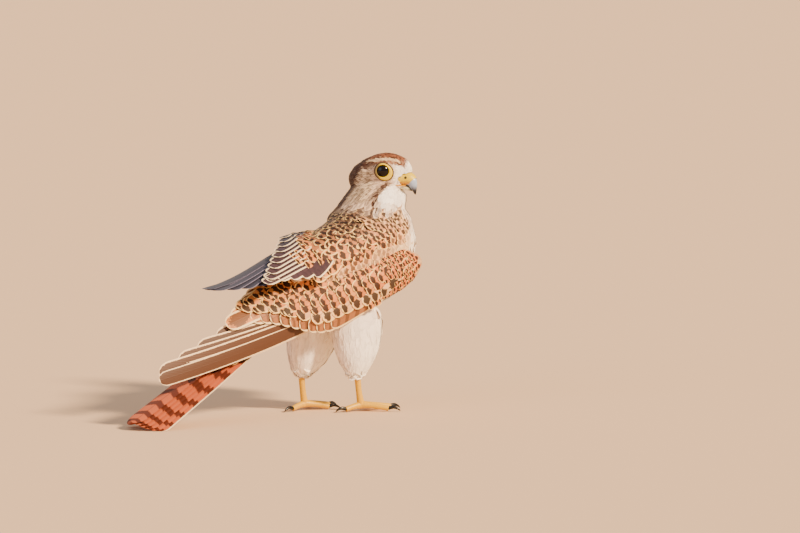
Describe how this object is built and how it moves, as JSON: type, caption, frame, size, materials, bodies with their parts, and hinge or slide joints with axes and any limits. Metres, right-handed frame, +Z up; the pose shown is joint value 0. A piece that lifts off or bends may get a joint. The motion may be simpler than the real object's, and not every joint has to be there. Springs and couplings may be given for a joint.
{
  "type": "common kestrel",
  "caption": "Life-size still model of a small falcon standing on the ground, head turned back over its right shoulder, one wing lifted over the rump, tail tip on the floor.",
  "frame": {"origin": "centre of the bounding box, at floor level", "axes": "+X the way the breast faces, +Y the bird's left, +Z up from the floor"},
  "size_m": [0.271, 0.0806, 0.1951],
  "materials": {
    "crown_feathers": "soft streaked head feathers",
    "body_feathers": "soft cream body feathers",
    "wing_feathers": "rufous feathers with dark bars and pale rims",
    "tail_feathers": "rufous feathers with dark bars",
    "bill_horn": "blue-grey horn with a dark tip",
    "claw_horn": "smooth dark horn",
    "leg_skin": "yellow scaled skin",
    "eye": "wet dark brown eye"
  },
  "bodies": {
    "root": {"head": "crown_feathers", "neck": "crown_feathers", "torso": "body_feathers", "wing_right": "wing_feathers", "wing_left": "wing_feathers", "tail": "tail_feathers", "thigh_right": "body_feathers", "thigh_left": "body_feathers", "cere": "leg_skin", "bill_upper": "bill_horn", "bill_lower": "bill_horn", "eye_right": "eye", "eye_left": "eye", "tarsus_right": "leg_skin", "tarsus_left": "leg_skin", "foot_right": "leg_skin", "foot_left": "leg_skin", "claw_right_middle": "claw_horn", "claw_right_inner": "claw_horn", "claw_right_outer": "claw_horn", "claw_right_hind": "claw_horn", "claw_left_middle": "claw_horn", "claw_left_inner": "claw_horn", "claw_left_outer": "claw_horn", "claw_left_hind": "claw_horn"}
  },
  "joints": []
}
